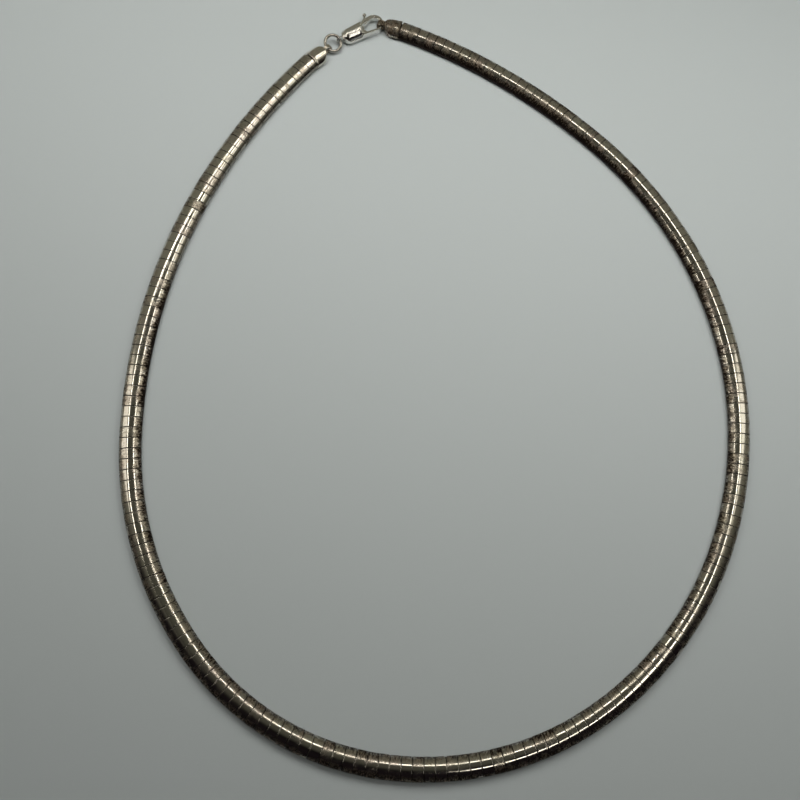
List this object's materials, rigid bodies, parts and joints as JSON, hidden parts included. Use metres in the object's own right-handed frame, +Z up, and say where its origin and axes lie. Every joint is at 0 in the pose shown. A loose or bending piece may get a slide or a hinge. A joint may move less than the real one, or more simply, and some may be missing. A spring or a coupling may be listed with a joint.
{
  "type": "omega necklace",
  "caption": "Silver omega necklace lying open and flat: domed plates crimped side by side over a flat woven band, crimped end caps, a jump ring and a lobster clasp.",
  "frame": {"origin": "on the table, below the middle of the whole necklace", "axes": "+Z up from the table, +Y from the front of the necklace towards the clasp, +X to the right as the necklace lies with the clasp at the top"},
  "size_m": [0.1204, 0.1534, 0.0023],
  "materials": {
    "plate_silver": "polished, lightly tarnished",
    "band_silver": "woven, dark tarnish",
    "cap_silver": "polished, brown tarnish",
    "ring_silver": "polished",
    "clasp_silver": "polished"
  },
  "bodies": {
    "necklace": {"plates_left": "plate_silver", "plates_right": "plate_silver", "core_band": "band_silver", "end_cap_left": "cap_silver", "end_cap_right": "cap_silver", "jump_ring": "ring_silver", "clasp_body": "clasp_silver", "lever_rivet": "clasp_silver"},
    "lever": {"clasp_lever": "clasp_silver"}
  },
  "joints": [
    {"name": "lever_pivot", "type": "hinge", "parent": "necklace", "child": "lever", "pos_m": [-0.01537, 0.07444, 0.00115], "axis": [0, 0, -1], "range_deg": [0, 25], "stiffness_Nm_per_rad": 0.0005, "springref_deg": -17.19}
  ]
}
